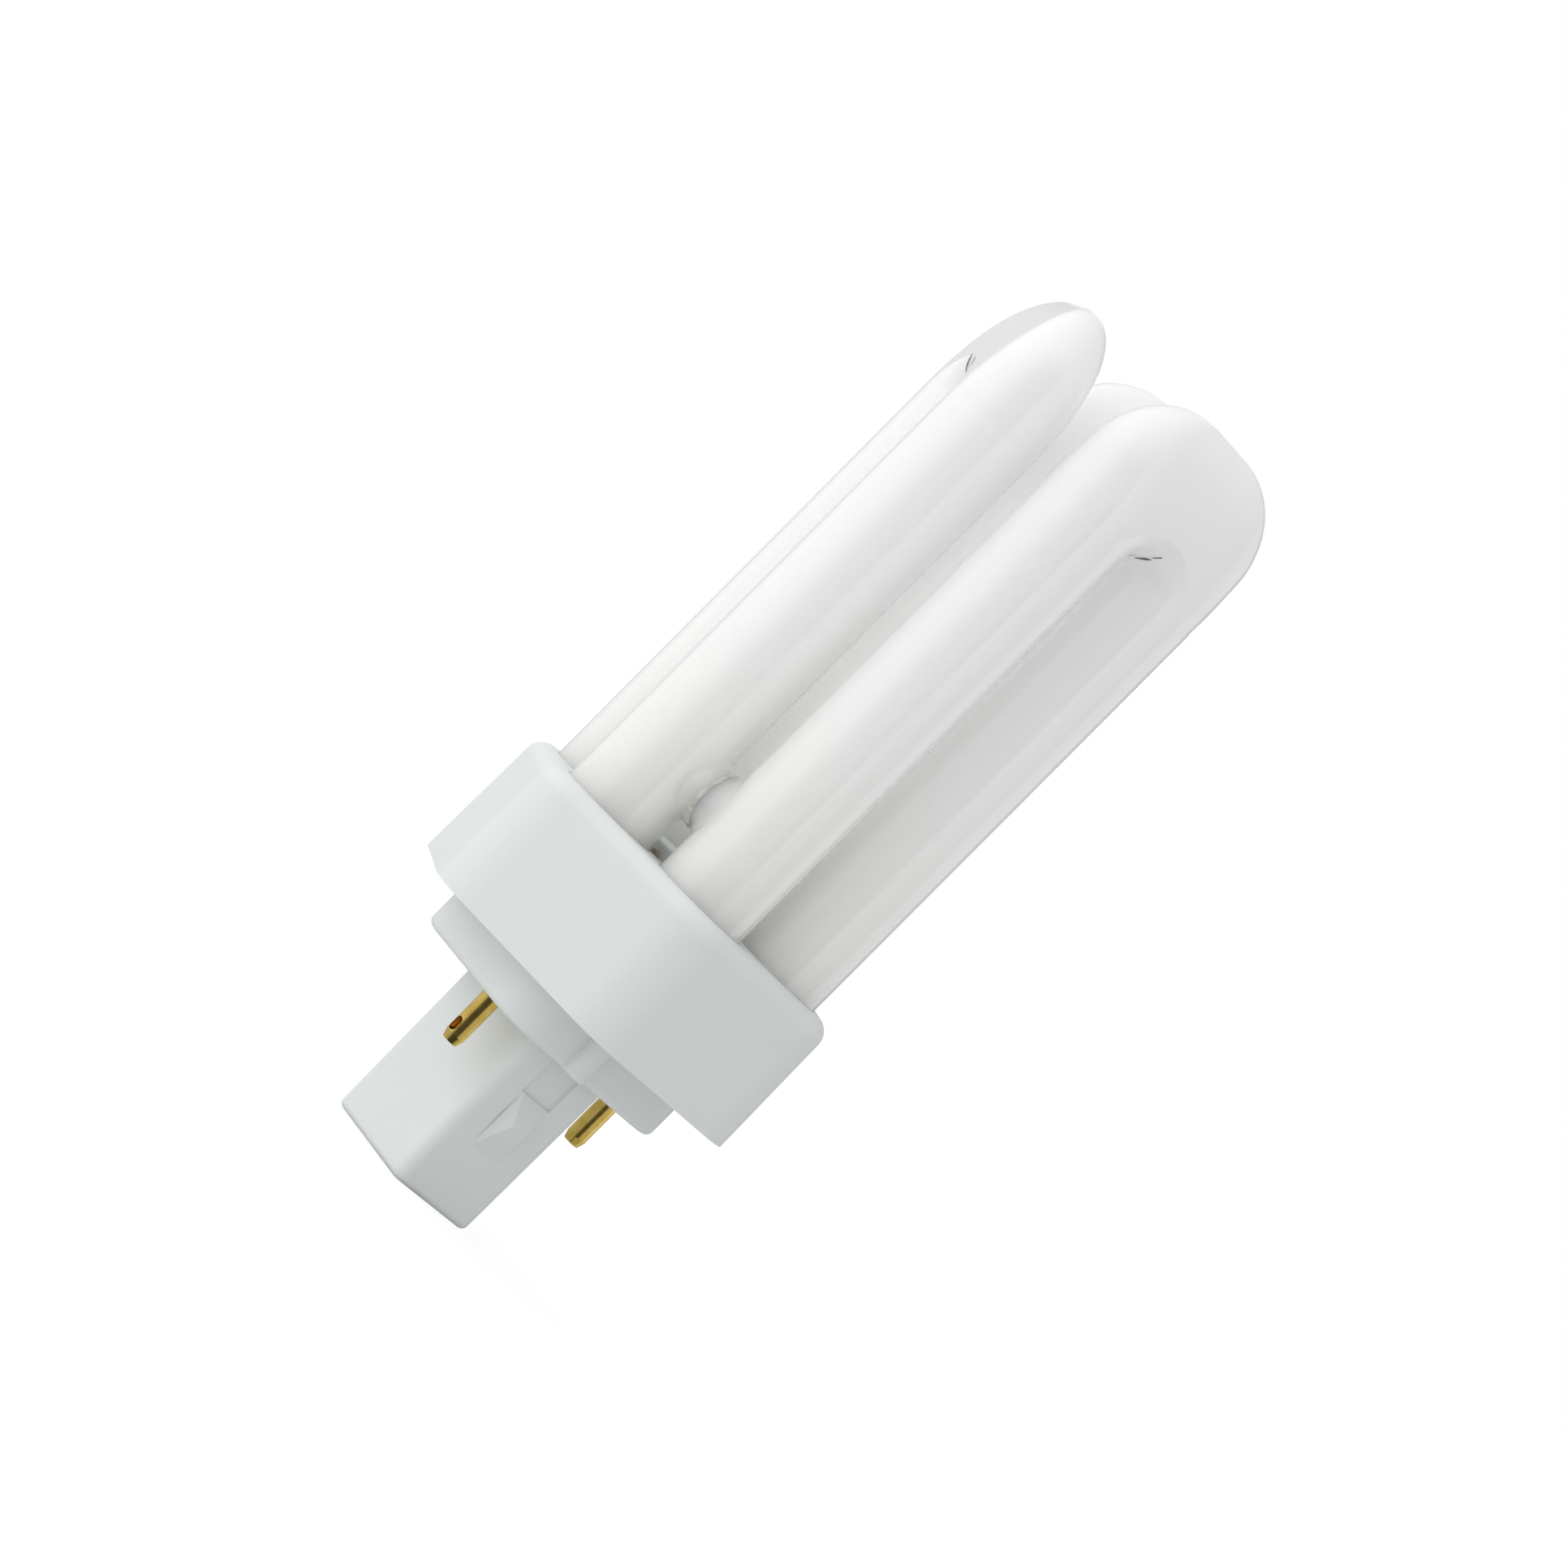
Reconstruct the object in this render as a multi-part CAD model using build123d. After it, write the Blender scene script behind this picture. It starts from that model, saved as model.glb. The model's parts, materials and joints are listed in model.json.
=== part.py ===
from build123d import *
import os
from math import cos, radians, sin, sqrt, tan

# Two pin plug-in fluorescent lamp with three U-bent glass tubes, in millimetres.
# The origin is the middle of the end face of the plug post, where the lamp stands upright.
# +Z runs along the lamp to the tops of the tubes. X runs through both contact pins, and -Y is
# the side on which the pins, the key rib and the front tube stand.

# Overall
overall_length = 120.0

# Glass tubes: six legs on one circle, two legs to a tube
tube_diameter = 12.0
leg_circle_radius = 14.8
tube_angles = {"front_tube": 0, "right_tube": 120, "left_tube": 240}
bridge_sides = {"front_tube": (-1, 1), "right_tube": (-1,), "left_tube": (1,)}
electrode_sides = {"right_tube": 1, "left_tube": -1}
dome_height = 17.7
dome_sections = 13
bend_corner_radius = 10.0
ridge_width = 1.3
bridge_diameter = 7.4
bridge_rise = 8.8
bridge_flare_radius = 1.0
bridge_seam_chamfer = 0.2
leg_room = 5.0
leg_end_rounding = 3.0
pinch_height = 2.4
pinch_thickness = 2.6
pinch_width = 8.0

# Hexagonal cap
cap_margin = 2.98
cap_corner_radius = 7.0
cap_height = 17.6
cap_draft_angle = 1.0
cap_edge_radius = 2.2
cap_wall = 1.6
tube_hole_clearance = 0.15
cement_thickness = 0.6
socket_wall = 1.0
socket_depth = 5.5
hub_radius = 7.6
hub_height = 1.6
hub_edge_radius = 0.5
socket_lip = 0.8

# Plug base: closing plate, collar and post
plate_thickness = 2.0
plate_clearance = 0.15
latch_width = 6.0
latch_height = 1.2
latch_depth = 0.8
collar_pin_margin = 2.85
collar_ledge = 4.4
collar_corner_radius = 5.0
collar_height = 5.5
collar_edge_radius = 0.9
post_length = 21.5
post_end_x = 13.2
post_end_y = 16.2
post_draft_angle = 0.6
post_corner_radius = 1.2
post_end_radius = 0.8
post_wall = 1.2
well_corner_radius = 0.6
key_rib_offset = -3.1
key_rib_width = 2.8
key_rib_height = 2.0
key_rib_root = 2.5
key_rib_edge_radius = 0.45
wedge_width = 4.4
wedge_height = 1.65
wedge_low_z = 8.2
wedge_apex_z = 12.8
wedge_high_z = 16.25
wedge_side_slope = 1.0
wedge_crease_width = 0.3
relief_width = 5.2
relief_depth = 0.45

# Contact pins
pin_diameter = 2.45
pin_spacing = 23.0
pin_offset = -4.2
pin_exposed_length = 6.7
pin_tip_diameter = 1.9
pin_tip_length = 0.95
pin_bore_diameter = 1.3
pin_tip_wall = 0.7
pin_head_diameter = 4.2
pin_head_height = 0.6
pin_head_edge_radius = 0.3
pin_root_diameter = 3.0
pin_fit_clearance = 0.02
notch_width = 1.15
notch_height = 1.8
notch_rise = 2.0

# Starter, capacitor and wiring inside
wire_diameter = 0.6
wire_bend_radius = 0.8
wire_clearance = 0.02
starter_diameter = 7.4
starter_head_room = 10.0
starter_neck_diameter = 3.0
starter_tip_length = 2.0
starter_pinch_height = 3.0
starter_pinch_thickness = 2.0
starter_pinch_width = 5.6
starter_lead_spacing = 3.2
starter_tip_end_diameter = 1.0
starter_shoulder_radius = 1.5
starter_floor_gap = 0.3
capacitor_width = 7.0
capacitor_gap = 0.6
capacitor_height = 9.0
capacitor_edge_radius = 0.8
capacitor_lead_spacing = 5.0
splice_length = 3.0
splice_width = 1.1
splice_pitch = 0.9
splice_head_room = 1.8
sleeve_diameter = 1.4
sleeve_end_gap = 2.1
lead_level = 1.3
electrode_lead_spacing = 4.4

# Levels and places that follow from the sizes above
tube_radius = tube_diameter / 2
leg_half_spacing = leg_circle_radius * sin(radians(30))
tube_plane_distance = leg_circle_radius * cos(radians(30))
dome_bottom = overall_length - dome_height
cap_across_flats = 2 * (tube_plane_distance + tube_radius + cap_margin)
collar_bottom = post_length
collar_length_x = pin_spacing + 2 * collar_pin_margin
collar_length_y = post_end_y + 2 * collar_ledge
cap_bottom = collar_bottom + collar_height
cap_top = cap_bottom + cap_height
cap_ceiling = cap_top - cap_wall
plate_top = cap_bottom + plate_thickness
leg_end = plate_top + leg_room
bridge_level = cap_top + bridge_rise
pin_x = pin_spacing / 2
pin_top = plate_top + pin_head_height
wire_radius = wire_diameter / 2
lead_z = plate_top + lead_level
well_x = post_end_x - 2 * post_wall
well_y = post_end_y - 2 * post_wall
starter_y = -well_y / 2 + starter_diameter / 2 + capacitor_gap
starter_bottom = post_wall + starter_floor_gap
starter_shoulder = plate_top - starter_head_room
starter_length = starter_shoulder - starter_bottom - starter_tip_length
starter_top = starter_shoulder + starter_pinch_height
capacitor_thickness = well_y - starter_diameter - 3 * capacitor_gap
capacitor_y = well_y / 2 - capacitor_thickness / 2 - capacitor_gap
capacitor_top = post_wall + starter_floor_gap + capacitor_height
splice_top = plate_top - splice_head_room
splice_bottom = splice_top - splice_length
splice_middle = splice_top - splice_length / 2


def cylinder(radius, height):
    return Cylinder(radius, height, align=(Align.CENTER, Align.CENTER, Align.MIN))


def block(length, width, height):
    return Box(length, width, height, align=(Align.CENTER, Align.CENTER, Align.MIN))


def wire(points, radius):
    """Round wire along straight runs joined by small bends."""
    path = FilletPolyline(*points, radius=wire_bend_radius) if len(points) > 2 else Line(*points)
    start = Plane(origin=path @ 0, z_dir=path % 0)
    return sweep(start * Circle(radius), path=path)


def dome_block():
    """Closed top of a bent tube: flat and round cornered from the front, pointed from the side."""
    last = sqrt(1 - (ridge_width / tube_diameter) ** 2)
    sections = []
    for step in range(dome_sections):
        rise = last * sin(radians(90 * step / (dome_sections - 1)))
        half_width = tube_radius * sqrt(1 - rise**2)
        z = dome_bottom + dome_height * rise / last
        depth = overall_length - z
        inset = 0.0
        if depth < bend_corner_radius:
            inset = bend_corner_radius - sqrt(bend_corner_radius**2 - (bend_corner_radius - depth) ** 2)
        half_length = leg_half_spacing + tube_radius - inset
        sections.append(Pos(0, 0, z) * SlotOverall(2 * half_length, 2 * half_width))
    return loft(sections)


def bend_hollow():
    """Space between the legs under the dome, which ends in the inner half of a round bend."""
    across = Pos(0, 0, dome_bottom) * Rot(90, 0, 0)
    return across * (Cylinder(leg_half_spacing, 2 * tube_diameter) - Torus(leg_half_spacing, tube_radius))


def leg(side):
    """One straight leg with a rounded, sealed end inside the cap."""
    tube = cylinder(tube_radius, dome_bottom - leg_end)
    tube = fillet(tube.edges().group_by(Axis.Z)[0], leg_end_rounding)
    return Pos(side * leg_half_spacing, 0, leg_end) * tube


def bridged_leg(side):
    """Leg with half of the short neck that joins it to the next tube."""
    tube = leg(side)
    room = leg_half_spacing - tube_radius
    heading = Vector(side * cos(radians(60)), sin(radians(60)), 0)
    root = Vector(side * leg_half_spacing, 0, bridge_level)
    neck = cylinder(bridge_diameter / 2, leg_half_spacing)
    seam = min(bridge_seam_chamfer, room / 4)
    neck = chamfer(neck.edges().group_by(Axis.Z)[-1], seam)
    neck = Plane(origin=root, z_dir=heading) * neck
    joined = tube + neck
    return fillet(new_edges(tube, neck, combined=joined), min(bridge_flare_radius, room - seam))


def electrode_pinch(side):
    """Flat press at the end of a leg, where the two wires of an electrode come out."""
    press = extrude(SlotOverall(pinch_width, pinch_thickness), pinch_height + leg_end_rounding)
    return Pos(side * leg_half_spacing, tube_plane_distance, leg_end - pinch_height) * press


def glass_tube(name):
    """One bent glass tube of the three: two legs, a closed dome and its half bridges."""
    tube = dome_block() - bend_hollow()
    for side in (-1, 1):
        tube += bridged_leg(side) if side in bridge_sides[name] else leg(side)
    tube = Rot(0, 0, tube_angles[name]) * Pos(0, -tube_plane_distance, 0) * tube
    if name in electrode_sides:
        tube += electrode_pinch(electrode_sides[name])
    return tube


def hexagon_prism(inset, height):
    """Drafted hexagon with rounded corners, standing on the mouth of the cap."""
    outline = RegularPolygon(cap_across_flats / 2 - inset, 6, major_radius=False)
    outline = fillet(outline.vertices(), cap_corner_radius - inset)
    return Pos(0, 0, cap_bottom) * extrude(outline, height, taper=cap_draft_angle)


def at_legs(shape, z):
    """Copies of a shape round the axis, one at each of the six legs."""
    return [Pos(0, 0, z) * place * shape for place in PolarLocations(leg_circle_radius, 6)]


def latch_places():
    reach = cap_across_flats / 2 - cap_wall
    return [Rot(0, 0, 30 + 120 * turn) * Pos(reach, 0, cap_bottom) for turn in range(3)]


def latch(clearance):
    """Snap lug of the plate, or with a clearance its pocket in the cap."""
    width = latch_width + 2 * clearance
    height = latch_height + clearance
    depth = latch_depth + clearance
    lug = Box(2 * depth, width, height, align=(Align.CENTER, Align.CENTER, Align.MIN))
    return Pos(0, 0, plate_thickness - latch_height) * lug


def cap_shell():
    """Hexagonal cup, mouth down, with six sockets for the legs and a hub between them."""
    cap = hexagon_prism(0, cap_height)
    cap = fillet(cap.edges().group_by(Axis.Z)[-1], cap_edge_radius)
    inside = hexagon_prism(cap_wall, cap_height - cap_wall)
    bore_radius = tube_radius + cement_thickness
    socket_end = cap_ceiling - socket_depth
    inside -= at_legs(cylinder(bore_radius + socket_wall, socket_depth), socket_end)
    cap -= inside
    hub = fillet(cylinder(hub_radius, hub_height).edges().group_by(Axis.Z)[-1], hub_edge_radius)
    cap += Pos(0, 0, cap_top) * hub
    cap -= at_legs(cylinder(bore_radius, socket_depth), socket_end)
    hole = cylinder(tube_radius + tube_hole_clearance, cap_wall + socket_lip)
    cap -= at_legs(hole, cap_ceiling - socket_lip / 2)
    for place in latch_places():
        cap -= place * latch(plate_clearance)
    return cap


def tube_cement():
    """Rings of basing cement that hold the legs in their sockets."""
    ring = cylinder(tube_radius + cement_thickness, socket_depth) - cylinder(tube_radius, socket_depth)
    return Compound(at_legs(ring, cap_ceiling - socket_depth))


def post_face(z):
    """Distance of the wider post faces from the lamp's axis at a height."""
    return post_end_y / 2 + z * tan(radians(post_draft_angle))


def snap_wedge():
    """Moulded wedge on the front face of the post, with two slopes and leaning flanks."""
    inner = post_end_y / 2 - post_wall / 2
    low, apex, high = wedge_low_z, wedge_apex_z, wedge_high_z
    corners = [(-inner, low), (-post_face(low), low), (-post_face(apex) - wedge_height, apex)]
    corners += [(-post_face(high), high), (-inner, high)]
    ramp = extrude(Plane.YZ * Polygon(*corners, align=None), wedge_width / 2, both=True)
    half, slope = wedge_width / 2, wedge_side_slope
    outer = post_face(apex) + wedge_height
    sides = [(-half, -inner), (-half, -post_face(apex)), (slope - half, -outer)]
    sides += [(half - slope, -outer), (half, -post_face(apex)), (half, -inner)]
    return ramp & (Pos(0, 0, low) * extrude(Polygon(*sides, align=None), high - low))


def wedge_relief():
    """Cuts by the wedge: a crease along one flank and the sunk panel up to the collar."""
    low, apex, high = wedge_low_z, wedge_apex_z, wedge_high_z
    outside = post_face(collar_bottom) + relief_depth
    crease = [(-post_face(low), low), (-outside, apex), (-post_face(high), high)]
    crease += [(wedge_crease_width - post_face(apex), apex)]
    crease = extrude(Plane.YZ * Polygon(*crease, align=None), wedge_crease_width / 2, both=True)
    crease = Pos(-(wedge_width + wedge_crease_width) / 2, 0, 0) * crease
    panel = [(relief_depth - post_face(z), z) for z in (high, collar_bottom)]
    panel += [(-outside, collar_bottom), (-outside, high)]
    return [crease, extrude(Plane.YZ * Polygon(*panel, align=None), relief_width / 2, both=True)]


def key_rib():
    """Round nosed rib that keys the lamp to a holder of its own rating."""
    nose = key_rib_width / 2
    reach = key_rib_height + key_rib_root - nose
    rib = block(key_rib_width, reach, collar_height) + Pos(0, -reach / 2, 0) * cylinder(nose, collar_height)
    rib = fillet(rib.edges().group_by(Axis.Z)[0], key_rib_edge_radius)
    middle = collar_length_y / 2 + key_rib_height - nose - reach / 2
    return Pos(key_rib_offset, -middle, collar_bottom) * rib


def plug_base():
    """One moulding: plate that closes the cap, collar that seats on the holder, hollow post."""
    outline = RectangleRounded(collar_length_x, collar_length_y, collar_corner_radius)
    collar = extrude(outline, collar_height)
    collar = fillet(collar.edges().group_by(Axis.Z)[0], collar_edge_radius)
    collar = Pos(0, 0, collar_bottom) * collar
    post = extrude(RectangleRounded(post_end_x, post_end_y, post_corner_radius), post_length,
                   taper=-post_draft_angle)
    post = fillet(post.edges().group_by(Axis.Z)[0], post_end_radius)
    for turn in (0, 180):
        post -= [Rot(0, 0, turn) * cut for cut in wedge_relief()]
        post += Rot(0, 0, turn) * snap_wedge()
    base = hexagon_prism(cap_wall + plate_clearance, plate_thickness) + collar + key_rib() + post
    for place in latch_places():
        base += place * latch(0)
    well = extrude(RectangleRounded(well_x, well_y, well_corner_radius), plate_top - post_wall)
    base -= Pos(0, 0, post_wall) * well
    for side in (-1, 1):
        hole = cylinder(pin_root_diameter / 2 + pin_fit_clearance, plate_top - collar_bottom)
        base -= Pos(side * pin_x, pin_offset, collar_bottom) * hole
    return base


def contact_pin(side):
    """Hollow brass pin, riveted over the plate, with the crimp notch on its outer side."""
    end = collar_bottom - pin_exposed_length
    shank = cylinder(pin_diameter / 2, pin_exposed_length - pin_tip_length)
    shank = Pos(0, 0, end + pin_tip_length) * shank
    root = Pos(0, 0, collar_bottom) * cylinder(pin_root_diameter / 2, plate_top - collar_bottom)
    tip = Cone(pin_tip_diameter / 2, pin_diameter / 2, pin_tip_length,
               align=(Align.CENTER, Align.CENTER, Align.MIN))
    head = cylinder(pin_head_diameter / 2, pin_head_height)
    head = fillet(head.edges().group_by(Axis.Z)[-1], pin_head_edge_radius)
    pin = shank + root + Pos(0, 0, end) * tip + Pos(0, 0, plate_top) * head
    floor = end + pin_tip_wall
    pin -= Pos(0, 0, floor) * cylinder(pin_bore_diameter / 2, pin_top - floor)
    notch = extrude(Plane.YZ * Rot(0, 0, 90) * SlotOverall(notch_height, notch_width), pin_diameter)
    pin -= Pos(0, 0, end + notch_rise) * notch
    facing = 0 if side > 0 else 180
    return Pos(side * pin_x, pin_offset, 0) * Rot(0, 0, facing) * pin


def starter_bulb():
    """Sealed glow switch bottle with its exhaust tip below and its press above."""
    bottle = cylinder(starter_diameter / 2, starter_length)
    bottle = fillet(bottle.edges(), starter_shoulder_radius)
    nipple = Cone(starter_tip_end_diameter / 2, starter_neck_diameter / 2, starter_tip_length,
                  align=(Align.CENTER, Align.CENTER, Align.MIN))
    press = extrude(SlotOverall(starter_pinch_width, starter_pinch_thickness),
                    starter_pinch_height + starter_shoulder_radius)
    bulb = Pos(0, 0, starter_tip_length) * bottle + nipple
    bulb += Pos(0, 0, starter_tip_length + starter_length - starter_shoulder_radius) * press
    return Pos(0, starter_y, starter_bottom) * bulb


def capacitor():
    """Dipped suppression capacitor beside the starter."""
    body = block(capacitor_width, capacitor_thickness, capacitor_height)
    body = fillet(body.edges(), min(capacitor_edge_radius, capacitor_thickness / 3))
    return Pos(0, capacitor_y, capacitor_top - capacitor_height) * body


def splice(side):
    """Crimped splice that joins lamp wire, starter wire and capacitor wire."""
    outline = Rot(0, 0, 90) * SlotCenterToCenter(splice_pitch, splice_width)
    body = extrude(outline, splice_length)
    bore = cylinder(wire_radius + wire_clearance, splice_length)
    body -= Pos(0, -splice_pitch / 2, 0) * bore
    body -= Pos(0, splice_pitch / 2, -splice_length / 2) * bore
    return Pos(side * starter_lead_spacing / 2, starter_y + splice_pitch / 2, splice_bottom) * body


def starter_lead(side):
    x = side * starter_lead_spacing / 2
    return wire([(x, starter_y, starter_top), (x, starter_y, splice_middle)], wire_radius)


def capacitor_lead(side):
    x = side * capacitor_lead_spacing / 2
    end_x = side * starter_lead_spacing / 2
    end_y = starter_y + splice_pitch
    level = splice_bottom - 2 * wire_bend_radius
    points = [(x, capacitor_y, capacitor_top), (x, capacitor_y, level), (end_x, end_y, level)]
    return wire(points + [(end_x, end_y, splice_middle)], wire_radius)


def inner_lead(side):
    """Wire from an electrode to the starter's splice."""
    x = side * (leg_half_spacing - electrode_lead_spacing / 2)
    end_x = side * starter_lead_spacing / 2
    points = [(x, tube_plane_distance, leg_end - pinch_height), (x, tube_plane_distance, lead_z)]
    return wire(points + [(end_x, starter_y, lead_z), (end_x, starter_y, splice_middle)], wire_radius)


def pin_lead_ends(side):
    """Plan points between which the wire to a contact pin runs level."""
    start = Vector(side * (leg_half_spacing + electrode_lead_spacing / 2), tube_plane_distance, lead_z)
    return start, Vector(side * pin_x, pin_offset, lead_z)


def pin_lead(side):
    """Wire from an electrode down into a contact pin, where it is crimped."""
    start, end = pin_lead_ends(side)
    floor = collar_bottom - pin_exposed_length + pin_tip_wall
    points = [(start.X, start.Y, leg_end - pinch_height), start, end, (end.X, end.Y, floor)]
    return wire(points, wire_radius)


def lead_sleeve(side):
    """Insulating sleeve on the level run of the wire to a contact pin."""
    start, end = pin_lead_ends(side)
    along = (end - start).normalized()
    length = (end - start).length - 2 * sleeve_end_gap
    tube = cylinder(sleeve_diameter / 2, length) - cylinder(wire_radius + wire_clearance, length)
    return Plane(origin=start + along * sleeve_end_gap, z_dir=along) * tube


def pieces():
    """Every piece of the lamp by its node name."""
    made = {name: glass_tube(name) for name in tube_angles}
    made["cap_shell"] = cap_shell()
    made["tube_cement"] = tube_cement()
    made["plug_base"] = plug_base()
    made["starter_bulb"] = starter_bulb()
    made["starter_capacitor"] = capacitor()
    makers = {"contact_pin": contact_pin, "splice": splice, "starter_lead": starter_lead}
    makers.update({"capacitor_lead": capacitor_lead, "inner_lead": inner_lead})
    makers.update({"pin_lead": pin_lead, "lead_sleeve": lead_sleeve})
    for kind, make in makers.items():
        made["left_" + kind] = make(-1)
        made["right_" + kind] = make(1)
    return made


os.makedirs("parts", exist_ok=True)
for node, shape in pieces().items():
    export_step(Compound(shape.solids()), f"parts/{node}.step")
    print(node, len(shape.solids()), "solids", round(shape.volume, 1), "mm3")
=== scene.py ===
import json
from math import cos, pi, radians, sin, tau

import bmesh
import bpy
from mathutils import Matrix, Vector, noise


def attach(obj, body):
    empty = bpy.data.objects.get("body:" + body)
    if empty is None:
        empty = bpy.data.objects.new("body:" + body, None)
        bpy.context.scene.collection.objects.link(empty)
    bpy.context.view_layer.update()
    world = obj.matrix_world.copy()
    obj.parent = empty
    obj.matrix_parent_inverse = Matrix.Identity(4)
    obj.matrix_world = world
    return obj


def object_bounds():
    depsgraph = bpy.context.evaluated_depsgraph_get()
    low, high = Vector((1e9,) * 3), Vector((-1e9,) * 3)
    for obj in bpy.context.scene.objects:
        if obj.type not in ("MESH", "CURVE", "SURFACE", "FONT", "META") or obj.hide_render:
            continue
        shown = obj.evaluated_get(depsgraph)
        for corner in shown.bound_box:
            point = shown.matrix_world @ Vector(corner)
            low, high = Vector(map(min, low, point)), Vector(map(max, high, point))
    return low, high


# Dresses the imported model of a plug-in fluorescent lamp with three bent glass tubes. Metres,
# in the model's own frame: origin at the end of the plug post, +Z up the lamp.

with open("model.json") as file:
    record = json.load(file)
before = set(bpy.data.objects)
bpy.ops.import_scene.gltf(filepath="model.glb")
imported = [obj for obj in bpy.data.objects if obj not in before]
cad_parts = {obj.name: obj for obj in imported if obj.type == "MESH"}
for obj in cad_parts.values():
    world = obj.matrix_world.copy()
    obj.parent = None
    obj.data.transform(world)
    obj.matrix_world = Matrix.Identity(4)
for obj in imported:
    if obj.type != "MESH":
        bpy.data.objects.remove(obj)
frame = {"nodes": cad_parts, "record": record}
cad_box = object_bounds()
nodes = frame["nodes"]

# Camera, as found from the outlines in the photograph
PHOTO_SIDE = 1932
FOCAL_PIXELS = 6613.7
SENSOR_WIDTH = 36.0
CAMERA_PLACE = Vector((-0.38843, -0.44473, 0.07376))
VIEW_AZIMUTH = radians(-41.2)
VIEW_YAW = radians(-0.05)
VIEW_PITCH = radians(-1.352)
VIEW_ROLL = radians(-44.89)
# Level directions to the camera's right and towards it
TO_RIGHT = (cos(VIEW_AZIMUTH), sin(VIEW_AZIMUTH), 0)
TO_FRONT = (sin(VIEW_AZIMUTH), -cos(VIEW_AZIMUTH), 0)

# Soft lamp on the left: its way from the middle of the model, with the azimuth measured from
# the camera to its right
KEY_AZIMUTH = radians(-87)
KEY_ELEVATION = radians(22)
KEY_DISTANCE = 0.8
KEY_SIZE = 0.5
KEY_POWER = 0.56
# World light, and how much brighter it is on the left, above and in front
WORLD_LEVEL = 0.777
WORLD_SIDE = 0.445
WORLD_TOP = 0.12
WORLD_FRONT = 0.125
# Tiny lamps on the axis, for the light that the white powder lets in between the tubes
INNER_LEVELS = (0.062, 0.074, 0.086, 0.098)
INNER_POWER = 0.0005
INNER_RADIUS = 0.003
# What gloss sees round the lamp: degrees from the camera, to its right, and brightness there.
# Two grey flags beside the white backdrop give the clear glass its thin grey edges.
SEEN_ROUND = [(-180, 0.95), (-176, 0.95), (-172, 0.6), (-148, 0.6), (-136, 1.02), (-110, 1.05),
              (-75, 1.05), (-42, 0.9), (-25, 0.12), (34, 0.08), (37, 0.85), (94, 0.85),
              (97, 1.45), (136, 1.2), (148, 0.5), (172, 0.5), (176, 0.95), (180, 0.95)]
# What it sees overhead, and the heights of a direction between which that takes over
SEEN_ABOVE = 0.8
ABOVE_FROM, ABOVE_FULL = 0.25, 0.8

# Floor: half its side, its gap under the lamp, and its matt grey for light that bounces
FLOOR_HALF = 3.0
FLOOR_GAP = 0.0001
FLOOR_GREY = 0.8
# What the camera sees of it: its own white, and the share that shows the lamp's shadow
FLOOR_WHITE = 0.9
FLOOR_SHADOW = 0.14
# Share of the studio that it shows to gloss, near the lamp and farther off, after the distance:
# less near the lamp, as a painted shade round its foot
FLOOR_SEEN_PAINTED_SHADE = [(0.25, 0.5), (0.7, 1.0)]

# Joints between the tubes: where the two half necks meet, and the clear glass left round them
JOINT_DISTANCE = 0.012817
JOINT_LEVEL = 0.0534
JOINT_ANGLES = {"left": radians(210), "right": radians(330)}
JOINT_RADIUS = 0.00362
JOINT_THICKNESS = 0.00026
# Shape of that bead, as shares of its thickness: uneven part, sag below, drift and breadth
JOINT_UNEVEN = 0.7
JOINT_SAG = 0.6
JOINT_DRIFT = 1.2
JOINT_BREADTH = 1.5

# Folds in the powder under a dome, given for a tube that stands at -Y: three points along
# each, its half width and its tone. The tones are painted light: painted shade for the dark
# slivers in the creases, and a painted highlight for the light line beside one of them
POWDER_FOLDS = {
    "front_tube": [
        ((-0.0001, -0.01485, 0.10405), (-0.00002, -0.01604, 0.10468),
         (0.0003, -0.01665, 0.10515), 0.00028, "painted_shade"),
        ((-0.0004, -0.0149, 0.1041), (-0.00025, -0.0160, 0.10478),
         (0.0, -0.0168, 0.1053), 0.00012, "painted_highlight"),
        ((-0.0001, -0.0168, 0.10525), (0.0001, -0.0172, 0.1056),
         (0.0003, -0.0176, 0.106), 0.0001, "painted_shade"),
        ((-0.0005, -0.0144, 0.1037), (-0.0005, -0.0147, 0.1040),
         (-0.0003, -0.0152, 0.1043), 0.00009, "painted_shade"),
    ],
    "left_tube": [
        ((-0.00125, -0.01855, 0.1078), (-0.00128, -0.01822, 0.1068),
         (-0.00133, -0.01763, 0.10588), 0.00011, "painted_shade"),
    ],
}
TUBE_ANGLES = {"front_tube": 0, "left_tube": radians(240)}
# Way in which a fold stands out of the glass, its least height, the height that its width
# adds, and the share of its width that is left at its tips
FOLD_OUTWARD = (0, -0.55, -0.83)
FOLD_RISE = 0.00006
FOLD_FULLNESS = 0.35
FOLD_TIP = 0.04

# Drop of basing cement at the foot of the left tube: its place, radius, lumps and flatness
CEMENT_DROP = (-0.0081, -0.0026, 0.0448)
CEMENT_DROP_RADIUS = 0.00062
CEMENT_DROP_LUMPS = 0.35
CEMENT_DROP_FLAT = 0.75

# Tone of the powder by the share of the lamp's length: greyer, yellower and darker near the cap.
# The darkening towards the cap is painted shade and the bright tops are painted light, as light
# falls from above
POWDER_TONES_AND_PAINTED_SHADE = [(0.36, (0.865, 0.867, 0.835)), (0.62, (0.955, 0.957, 0.944)),
                (0.95, (0.97, 0.97, 0.98))]
# Values of a noise that stand for the two ends of a colour
NOISE_LOW, NOISE_HIGH = 0.3, 0.7
GLASS_IOR = 1.5


def shader_tree(name):
    """New material with one Principled shader: the material, its tree and the shader."""
    material = bpy.data.materials.new(name)
    material.use_nodes = True
    tree = material.node_tree
    return material, tree, tree.nodes["Principled BSDF"]


def set_inputs(node, values):
    """Sets constants on a node's own sockets."""
    for name, value in values.items():
        node.inputs[name].default_value = value


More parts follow.
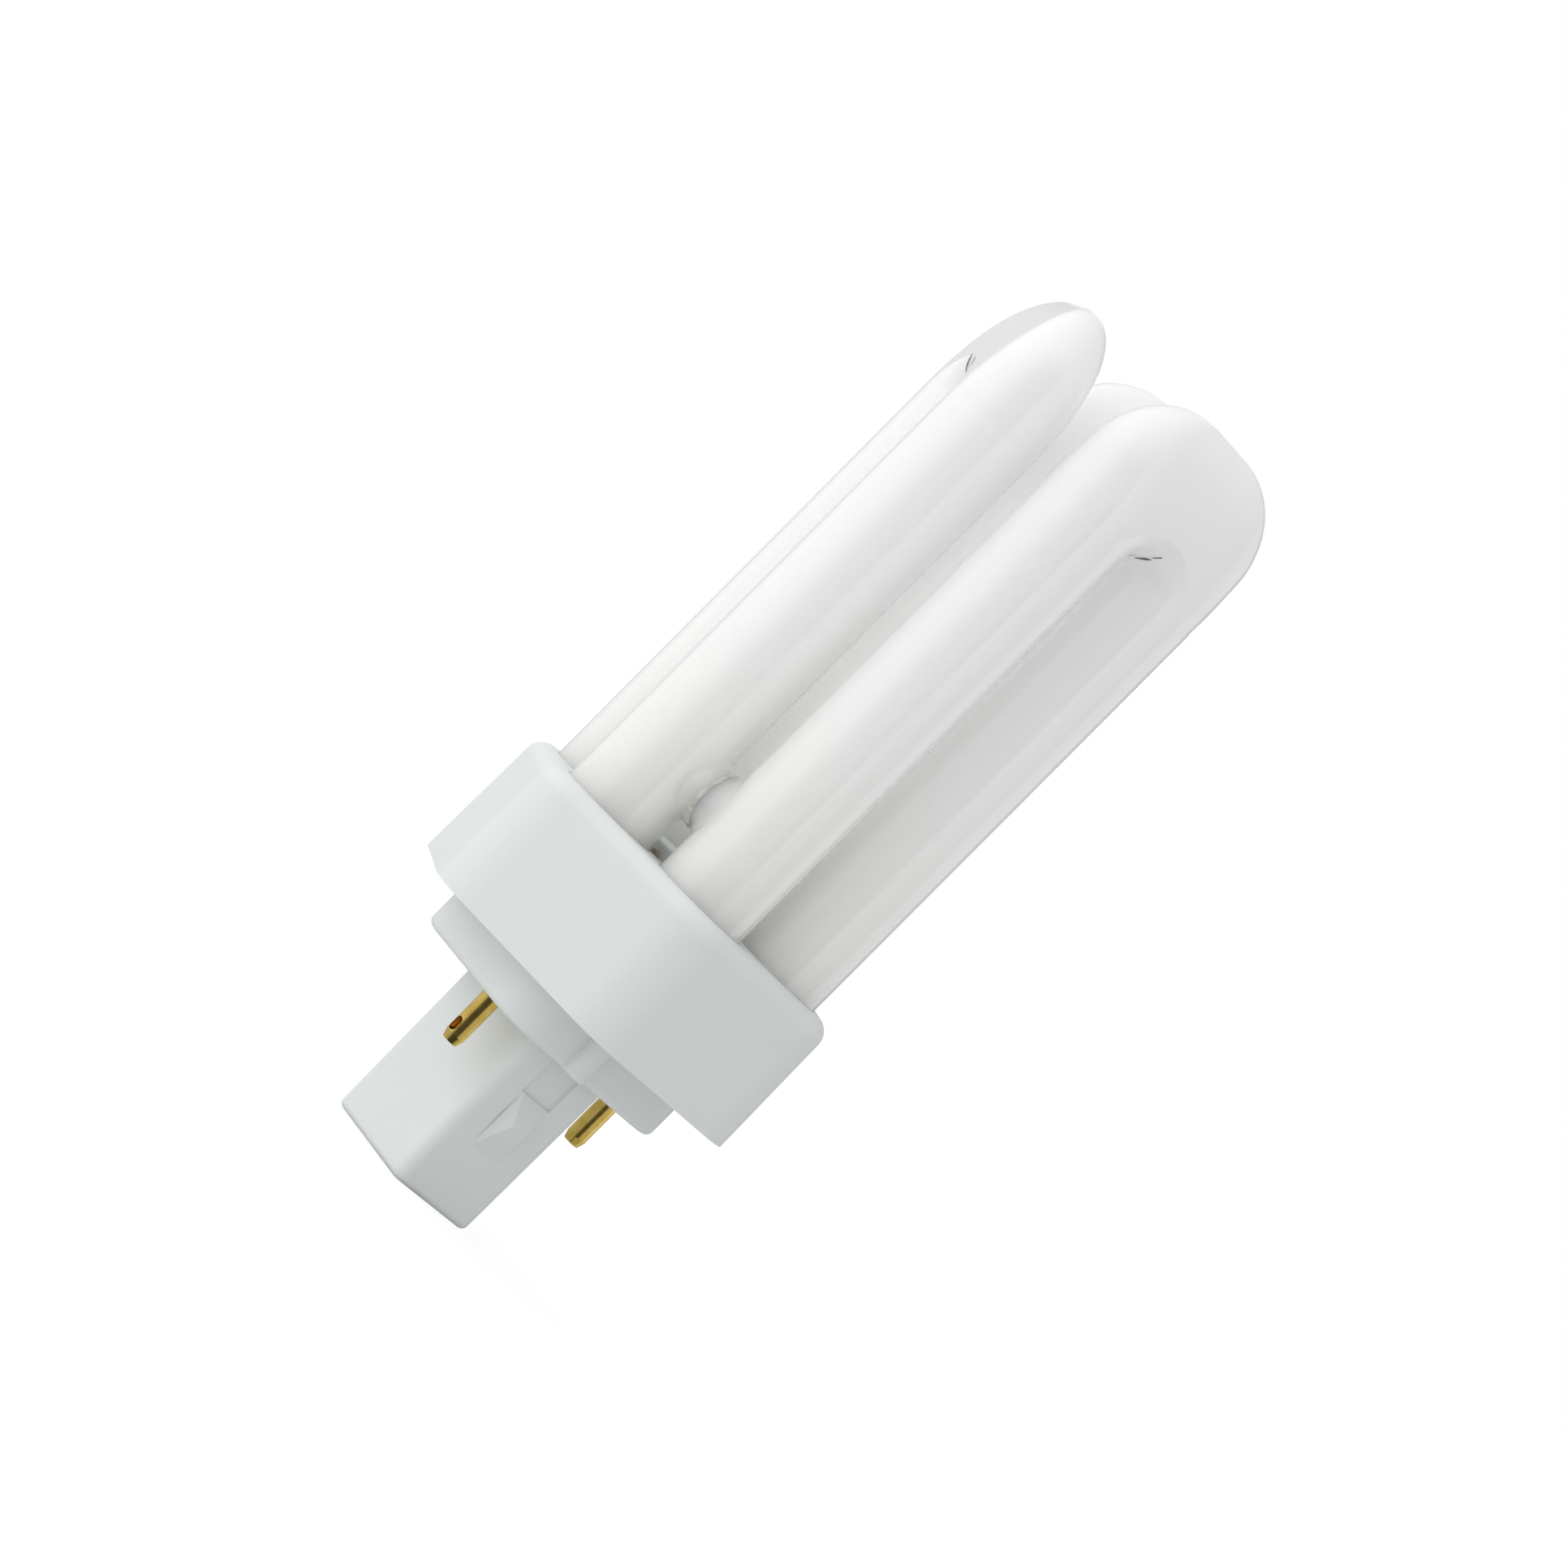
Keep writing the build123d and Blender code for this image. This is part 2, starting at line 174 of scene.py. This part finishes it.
def noise_node(tree, scale, detail=2.0, stretch=(1, 1, 1)):
    """Procedural noise in object space, scale in waves per metre."""
    place = tree.nodes.new("ShaderNodeTexCoord")
    mapping = tree.nodes.new("ShaderNodeMapping")
    texture = tree.nodes.new("ShaderNodeTexNoise")
    set_inputs(mapping, {"Scale": stretch})
    set_inputs(texture, {"Scale": scale, "Detail": detail})
    tree.links.new(place.outputs["Object"], mapping.inputs["Vector"])
    tree.links.new(mapping.outputs["Vector"], texture.inputs["Vector"])
    return texture.outputs["Fac"]


def ramp(tree, factor, stops):
    """Colour ramp over a factor. Stops are pairs of position and colour."""
    node = tree.nodes.new("ShaderNodeValToRGB")
    elements = node.color_ramp.elements
    while len(elements) < len(stops):
        elements.new(0.5)
    for element, (position, colour) in zip(elements, stops):
        element.position = position
        element.color = (*colour, 1.0)
    tree.links.new(factor, node.inputs["Fac"])
    return node.outputs["Color"]


def two_tones(tree, factor, low, high):
    """Colour that wavers between two tones with a noise."""
    return ramp(tree, factor, [(NOISE_LOW, low), (NOISE_HIGH, high)])


def value_range(tree, factor, low, high, start=0.0, end=1.0):
    """Maps a factor from start..end to low..high, and holds it to that range."""
    node = tree.nodes.new("ShaderNodeMapRange")
    set_inputs(node, {"From Min": start, "From Max": end, "To Min": low, "To Max": high})
    tree.links.new(factor, node.inputs["Value"])
    return node.outputs["Result"]


def bump(tree, height, distance, strength=1.0):
    node = tree.nodes.new("ShaderNodeBump")
    set_inputs(node, {"Distance": distance, "Strength": strength})
    tree.links.new(height, node.inputs["Height"])
    return node.outputs["Normal"]


def mixed(tree, kind, first, second):
    """Blends two colours in full, by a kind of mix such as MULTIPLY."""
    node = tree.nodes.new("ShaderNodeMix")
    node.data_type = "RGBA"
    node.blend_type = kind
    set_inputs(node, {"Factor": 1.0})
    tree.links.new(first, node.inputs["A"])
    tree.links.new(second, node.inputs["B"])
    return node.outputs["Result"]


def math_node(tree, kind, *values):
    """Math node over values that are numbers or other nodes' outputs."""
    node = tree.nodes.new("ShaderNodeMath")
    node.operation = kind
    for socket, value in zip(node.inputs, values):
        if isinstance(value, (int, float)):
            socket.default_value = value
        else:
            tree.links.new(value, socket)
    return node.outputs["Value"]


def along(tree, direction, axis):
    """Share of a direction that runs along an axis."""
    node = tree.nodes.new("ShaderNodeVectorMath")
    node.operation = "DOT_PRODUCT"
    node.inputs[1].default_value = axis
    tree.links.new(direction, node.inputs[0])
    return node.outputs["Value"]


def height_share(tree):
    """Height over the lamp's length, from 0 at the plug's end to 1 at the tops."""
    place = tree.nodes.new("ShaderNodeNewGeometry").outputs["Position"]
    return math_node(tree, "DIVIDE", along(tree, place, (0, 0, 1)), cad_box[1][2])


def coated_glass():
    """Clear glass over a white powder coating: a soft white body under a sharp clear coat."""
    material, tree, shader = shader_tree("coated_glass")
    mottle = noise_node(tree, 90, 3, (1, 1, 0.35))
    powder = two_tones(tree, mottle, (0.975, 0.975, 0.97), (1.0, 1.0, 1.0))
    # By height: painted shade down towards the cap and painted light at the tops
    ends = ramp(tree, height_share(tree), POWDER_TONES_AND_PAINTED_SHADE)
    tree.links.new(mixed(tree, "MULTIPLY", powder, ends), shader.inputs["Base Color"])
    rough = value_range(tree, noise_node(tree, 400, 2), 0.5, 0.62)
    tree.links.new(rough, shader.inputs["Roughness"])
    waves = bump(tree, noise_node(tree, 55, 1, (1, 1, 0.3)), 0.0004, 0.2)
    tree.links.new(waves, shader.inputs["Coat Normal"])
    set_inputs(shader, {
        "Subsurface Weight": 0.8,
        "Subsurface Radius": (1.0, 1.0, 0.97),
        "Subsurface Scale": 0.015,
        "Specular IOR Level": 0.3,
        "Coat Weight": 1.0,
        "Coat Roughness": 0.04,
        "Coat IOR": 1.65,
    })
    return material


def moulded_plastic():
    """White thermoplastic with a fine satin moulding grain."""
    material, tree, shader = shader_tree("white_plastic")
    colour = two_tones(tree, noise_node(tree, 60, 3), (0.79, 0.825, 0.815), (0.81, 0.842, 0.832))
    tree.links.new(colour, shader.inputs["Base Color"])
    grain = noise_node(tree, 3800, 3)
    tree.links.new(value_range(tree, grain, 0.42, 0.58), shader.inputs["Roughness"])
    tree.links.new(bump(tree, grain, 0.00003, 0.25), shader.inputs["Normal"])
    set_inputs(shader, {"Specular IOR Level": 0.42})
    return material


def turned_brass():
    """Bright brass with fine turning rings and a slightly uneven tarnish."""
    material, tree, shader = shader_tree("pin_brass")
    colour = two_tones(tree, noise_node(tree, 700, 4), (0.76, 0.52, 0.11), (0.95, 0.72, 0.22))
    tree.links.new(colour, shader.inputs["Base Color"])
    rings = noise_node(tree, 900, 2, (0.1, 0.1, 5))
    tree.links.new(value_range(tree, rings, 0.2, 0.28), shader.inputs["Roughness"])
    tree.links.new(bump(tree, rings, 0.00001, 0.05), shader.inputs["Normal"])
    set_inputs(shader, {"Metallic": 1.0})
    return material


def drawn_copper():
    """Copper wire with an uneven tarnish."""
    material, tree, shader = shader_tree("copper_wire")
    stain = noise_node(tree, 900, 3)
    colour = two_tones(tree, stain, (0.72, 0.27, 0.1), (0.95, 0.5, 0.26))
    tree.links.new(colour, shader.inputs["Base Color"])
    tree.links.new(value_range(tree, stain, 0.25, 0.4), shader.inputs["Roughness"])
    set_inputs(shader, {"Metallic": 1.0})
    return material


def dull_solid(name, low, high, scale, roughness, depth):
    """Dull material with a grainy colour between two tones and a bump of that grain."""
    material, tree, shader = shader_tree(name)
    grain = noise_node(tree, scale, 4)
    rough = value_range(tree, grain, roughness - 0.06, roughness + 0.06)
    tree.links.new(two_tones(tree, grain, low, high), shader.inputs["Base Color"])
    tree.links.new(bump(tree, grain, depth, 0.6), shader.inputs["Normal"])
    tree.links.new(rough, shader.inputs["Roughness"])
    return material


def starter_glass():
    """Clear glass of the starter's bottle."""
    material, tree, shader = shader_tree("clear_glass")
    tint = two_tones(tree, noise_node(tree, 120, 2), (0.9, 0.94, 0.93), (0.95, 0.97, 0.97))
    tree.links.new(tint, shader.inputs["Base Color"])
    set_inputs(shader, {"Transmission Weight": 1.0, "Roughness": 0.02, "IOR": GLASS_IOR})
    return material


def joint_glass():
    """Clear glass of the joints, faintly olive in patches."""
    material, tree, shader = shader_tree("joint_glass")
    stops = [(0.35, (0.72, 0.73, 0.62)), (0.6, (0.97, 0.98, 0.94))]
    tree.links.new(ramp(tree, noise_node(tree, 1100, 2), stops), shader.inputs["Base Color"])
    set_inputs(shader, {
        "Transmission Weight": 0.45,
        "Coat Weight": 1.0,
        "Roughness": 0.12,
        "IOR": GLASS_IOR,
    })
    return material


def add_piece(name, mesh, material, place=(0, 0, 0)):
    """Smooth piece that rides on the lamp, in the material that it is given."""
    mesh.shade_smooth()
    mesh.materials.append(material)
    piece = bpy.data.objects.new(name, mesh)
    piece.location = place
    bpy.context.scene.collection.objects.link(piece)
    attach(piece, "root")


def mesh_piece(name, points, faces, material):
    mesh = bpy.data.meshes.new(name)
    mesh.from_pydata(points, [], faces)
    add_piece(name, mesh, material)


def grid_faces(rows, columns, closed_rows):
    """Faces over rows of points, each row a closed ring, and last to first row too if asked."""
    faces = []
    for row in range(rows if closed_rows else rows - 1):
        for column in range(columns):
            near, far = row * columns, (row + 1) % rows * columns
            beside = (column + 1) % columns
            faces.append((near + column, near + beside, far + beside, far + column))
    return faces


def joint_ring(side, material):
    """Uneven bead of clear glass round the joint of two half necks, thickest below."""
    angle = JOINT_ANGLES[side]
    outward = Vector((cos(angle), sin(angle), 0))
    axis = Vector((-sin(angle), cos(angle), 0))
    middle = outward * JOINT_DISTANCE + Vector((0, 0, JOINT_LEVEL))
    points = []
    steps, sides = 72, 10
    for step in range(steps):
        turn = tau * step / steps
        way = outward * cos(turn) + Vector((0, 0, 1)) * sin(turn)
        uneven = noise.noise(way * 2.5 + axis * 3)
        sag = max(0, -sin(turn)) ** 6
        thick = JOINT_THICKNESS * (1 + JOINT_UNEVEN * uneven + JOINT_SAG * sag)
        drift = axis * JOINT_THICKNESS * JOINT_DRIFT * noise.noise(way * 1.7 - axis * 5)
        for corner in range(sides):
            roll = tau * corner / sides
            points.append(middle + drift + way * (JOINT_RADIUS + thick * cos(roll))
                          + axis * (JOINT_BREADTH * thick * sin(roll)))
    faces = grid_faces(steps, sides, True)
    mesh_piece(side + "_joint_glass", points, faces, material)


def powder_fold(name, tube, spine, width, material):
    """Thin raised fold that runs over three points and tapers to both ends."""
    turn = Matrix.Rotation(TUBE_ANGLES[tube], 3, "Z")
    first, middle, last = (turn @ Vector(point) for point in spine)
    outward = turn @ Vector(FOLD_OUTWARD)
    across = (last - first).cross(outward).normalized()
    points = []
    steps, sides = 14, 8
    for step in range(steps):
        share = step / (steps - 1)
        through = middle * 2 - (first + last) / 2
        place = first * (1 - share) ** 2 + through * 2 * share * (1 - share) + last * share**2
        size = width * max(FOLD_TIP, sin(pi * share)) ** 0.8
        height = FOLD_RISE + FOLD_FULLNESS * size
        for corner in range(sides):
            roll = tau * corner / sides
            points.append(place + across * size * cos(roll) + outward * height * sin(roll))
    faces = grid_faces(steps, sides, False)
    faces += [tuple(range(sides)), tuple(range((steps - 1) * sides, steps * sides))]
    mesh_piece(name, points, faces, material)


def lay_folds(materials):
    for tube, folds in POWDER_FOLDS.items():
        for number, (*spine, width, tone) in enumerate(folds, 1):
            powder_fold(f"{tube}_fold_{number}", tube, spine, width, materials[tone])


def cement_drop(material):
    """Lumpy drop that was squeezed out when the tubes were cemented in."""
    ball = bmesh.new()
    bmesh.ops.create_icosphere(ball, subdivisions=4, radius=CEMENT_DROP_RADIUS)
    for vertex in ball.verts:
        lump = noise.noise(vertex.co / CEMENT_DROP_RADIUS * 1.6)
        vertex.co *= 1 + CEMENT_DROP_LUMPS * lump
        vertex.co.z *= CEMENT_DROP_FLAT
    mesh = bpy.data.meshes.new("cement_drop")
    ball.to_mesh(mesh)
    ball.free()
    add_piece("cement_drop", mesh, material, CEMENT_DROP)


def dress(materials):
    """Puts each node's material on it, by the record's material slots."""
    for part in frame["record"]["subparts"]:
        piece = nodes[part["node"]]
        piece.data.materials.clear()
        piece.data.materials.append(materials[part["material_slot"]])


def camera_axes():
    """Right, up and forward of the camera, rolled as the photograph is."""
    side = Vector(TO_RIGHT)
    away = -Vector(TO_FRONT)
    up = Vector((0, 0, 1))
    forward = side * sin(VIEW_YAW) + away * cos(VIEW_YAW) * cos(VIEW_PITCH) + up * sin(VIEW_PITCH)
    right = forward.cross(up).normalized()
    above = right.cross(forward)
    turn = -VIEW_ROLL
    return (right * cos(turn) + above * sin(turn), above * cos(turn) - right * sin(turn), forward)


def place_camera():
    right, above, forward = camera_axes()
    data = bpy.data.cameras.new("camera")
    data.sensor_width = SENSOR_WIDTH
    data.lens = SENSOR_WIDTH * FOCAL_PIXELS / PHOTO_SIDE
    camera = bpy.data.objects.new("camera", data)
    turn = Matrix((right, above, -forward)).transposed().to_4x4()
    camera.matrix_world = Matrix.Translation(CAMERA_PLACE) @ turn
    bpy.context.scene.collection.objects.link(camera)
    bpy.context.scene.camera = camera


def add_lamp(name, kind, place, power):
    """Lamp that gloss doesn't see, because the panels stand in for it there."""
    data = bpy.data.lights.new(name, kind)
    data.energy = power
    lamp = bpy.data.objects.new(name, data)
    lamp.location = place
    lamp.visible_glossy = False
    bpy.context.scene.collection.objects.link(lamp)
    return lamp


def key_lamp():
    """Square soft lamp that faces the middle of the model."""
    middle = Vector((0, 0, (cad_box[0][2] + cad_box[1][2]) / 2))
    angle = VIEW_AZIMUTH - pi / 2 + KEY_AZIMUTH
    level = cos(KEY_ELEVATION)
    way = Vector((cos(angle) * level, sin(angle) * level, sin(KEY_ELEVATION)))
    lamp = add_lamp("key", "AREA", middle + way * KEY_DISTANCE, KEY_POWER)
    lamp.data.size = KEY_SIZE
    lamp.rotation_euler = way.to_track_quat("Z", "Y").to_euler()


def inner_lamps():
    for level in INNER_LEVELS:
        lamp = add_lamp("inner", "POINT", (0, 0, level), INNER_POWER)
        lamp.data.shadow_soft_size = INNER_RADIUS
        lamp.visible_camera = False


def choose(tree, factor, first, second):
    """First shader where the factor is 0, second where it is 1."""
    mix = tree.nodes.new("ShaderNodeMixShader")
    tree.links.new(factor, mix.inputs["Fac"])
    tree.links.new(first, mix.inputs[1])
    tree.links.new(second, mix.inputs[2])
    return mix.outputs["Shader"]


def ray_kinds(tree):
    """Whether a ray comes from the camera, and whether gloss or clear glass sent it on."""
    paths = tree.nodes.new("ShaderNodeLightPath").outputs
    sent = math_node(tree, "MAXIMUM", paths["Is Glossy Ray"], paths["Is Transmission Ray"])
    return paths["Is Camera Ray"], sent


def seen_round(tree, direction):
    """Brightness that gloss sees in a direction: the studio's panels and its white backdrop."""
    side = along(tree, direction, TO_RIGHT)
    near = along(tree, direction, TO_FRONT)
    turn = math_node(tree, "MULTIPLY_ADD", math_node(tree, "ARCTAN2", side, near), 1 / tau, 0.5)
    top = max(grey for angle, grey in SEEN_ROUND)
    stops = [(angle / 360 + 0.5, [grey / top] * 3) for angle, grey in SEEN_ROUND]
    return math_node(tree, "MULTIPLY", ramp(tree, turn, stops), top)


def light_world():
    """White for the camera, panels and backdrop for gloss, and an even light for the rest."""
    world = bpy.data.worlds.new("studio")
    bpy.context.scene.world = world
    world.use_nodes = True
    tree = world.node_tree
    direction = tree.nodes.new("ShaderNodeTexCoord").outputs["Generated"]
    height = along(tree, direction, (0, 0, 1))
    level = math_node(tree, "MULTIPLY_ADD", height, WORLD_TOP, WORLD_LEVEL)
    side = along(tree, direction, TO_RIGHT)
    level = math_node(tree, "MULTIPLY_ADD", side, -WORLD_SIDE, level)
    level = math_node(tree, "MULTIPLY_ADD", along(tree, direction, TO_FRONT), WORLD_FRONT, level)
    panels = seen_round(tree, direction)
    lift = value_range(tree, height, 0.0, 1.0, ABOVE_FROM, ABOVE_FULL)
    gap = math_node(tree, "SUBTRACT", SEEN_ABOVE, panels)
    panels = math_node(tree, "MULTIPLY_ADD", gap, lift, panels)
    shaders = []
    for strength in (level, panels, None):
        node = tree.nodes.new("ShaderNodeBackground")
        set_inputs(node, {"Color": (1, 1, 1, 1)})
        if strength is not None:
            tree.links.new(strength, node.inputs["Strength"])
        shaders.append(node.outputs["Background"])
    light, studio, white = shaders
    camera, sent = ray_kinds(tree)
    seen = choose(tree, camera, choose(tree, sent, light, studio), white)
    tree.links.new(seen, tree.nodes["World Output"].inputs["Surface"])


def white_floor():
    """For the camera white with a trace of the shadow, for gloss the panels, dimmer near the
    lamp as a painted shade, and matt for the rest."""
    material, tree, shader = shader_tree("floor_white")
    set_inputs(shader, {"Base Color": (FLOOR_GREY, FLOOR_GREY, FLOOR_GREY, 1), "Roughness": 0.9})
    place = tree.nodes.new("ShaderNodeNewGeometry").outputs["Position"]
    length = tree.nodes.new("ShaderNodeVectorMath")
    length.operation = "LENGTH"
    tree.links.new(place, length.inputs[0])
    (near, low), (far, high) = FLOOR_SEEN_PAINTED_SHADE
    # Dimmer near the lamp: a painted shade round its foot in what gloss sees
    share = value_range(tree, length.outputs["Value"], low, high, near, far)
    strength = math_node(tree, "MULTIPLY", seen_round(tree, place), share)
    mirrored = tree.nodes.new("ShaderNodeEmission")
    tree.links.new(strength, mirrored.inputs["Strength"])
    white = tree.nodes.new("ShaderNodeEmission")
    set_inputs(white, {"Strength": FLOOR_WHITE})
    trace = tree.nodes.new("ShaderNodeBsdfDiffuse")
    set_inputs(trace, {"Color": (FLOOR_SHADOW, FLOOR_SHADOW, FLOOR_SHADOW, 1)})
    lit = tree.nodes.new("ShaderNodeAddShader")
    tree.links.new(white.outputs["Emission"], lit.inputs[0])
    tree.links.new(trace.outputs["BSDF"], lit.inputs[1])
    camera, sent = ray_kinds(tree)
    other = choose(tree, sent, shader.outputs["BSDF"], mirrored.outputs["Emission"])
    seen = choose(tree, camera, other, lit.outputs["Shader"])
    tree.links.new(seen, tree.nodes["Material Output"].inputs["Surface"])
    return material


def lay_floor():
    mesh = bpy.data.meshes.new("floor")
    level = cad_box[0][2] - FLOOR_GAP
    half = FLOOR_HALF
    corners = [(-half, -half, level), (half, -half, level), (half, half, level),
               (-half, half, level)]
    mesh.from_pydata(corners, [], [(0, 1, 2, 3)])
    floor = bpy.data.objects.new("floor", mesh)
    bpy.context.scene.collection.objects.link(floor)
    mesh.materials.append(white_floor())


MATERIALS = {
    "coated_glass": coated_glass(),
    "white_plastic": moulded_plastic(),
    "pin_brass": turned_brass(),
    "copper_wire": drawn_copper(),
    "cement": dull_solid(
        "cement", (0.3, 0.23, 0.16), (0.5, 0.42, 0.33), 900, 0.85, 0.0002),
    "capacitor_coat": dull_solid(
        "capacitor_coat", (0.5, 0.2, 0.06), (0.6, 0.27, 0.1), 300, 0.3, 0.0001),
    "splice_metal": dull_solid(
        "splice_metal", (0.45, 0.45, 0.44), (0.6, 0.6, 0.6), 900, 0.4, 0.0001),
    "sleeve_fibre": dull_solid(
        "sleeve_fibre", (0.75, 0.72, 0.66), (0.88, 0.86, 0.8), 2500, 0.8, 0.0001),
    "clear_glass": starter_glass(),
}

# Tones of the folds: a nearly black painted shade for the shade in their creases, and a pale
# painted highlight
FOLD_PAINTED_LIGHT = {
    "painted_shade": dull_solid("fold_painted_shade", (0.12, 0.11, 0.09), (0.3, 0.28, 0.24), 2500, 0.3, 0.00005),
    "painted_highlight": dull_solid("fold_painted_highlight", (0.85, 0.83, 0.78), (0.95, 0.94, 0.92), 2500, 0.25, 0.00005),
}

dress(MATERIALS)
clear = joint_glass()
for side in JOINT_ANGLES:
    joint_ring(side, clear)
lay_folds(FOLD_PAINTED_LIGHT)
cement_drop(MATERIALS["cement"])
place_camera()
key_lamp()
inner_lamps()
light_world()
lay_floor()

bpy.context.scene.view_settings.view_transform = "Standard"
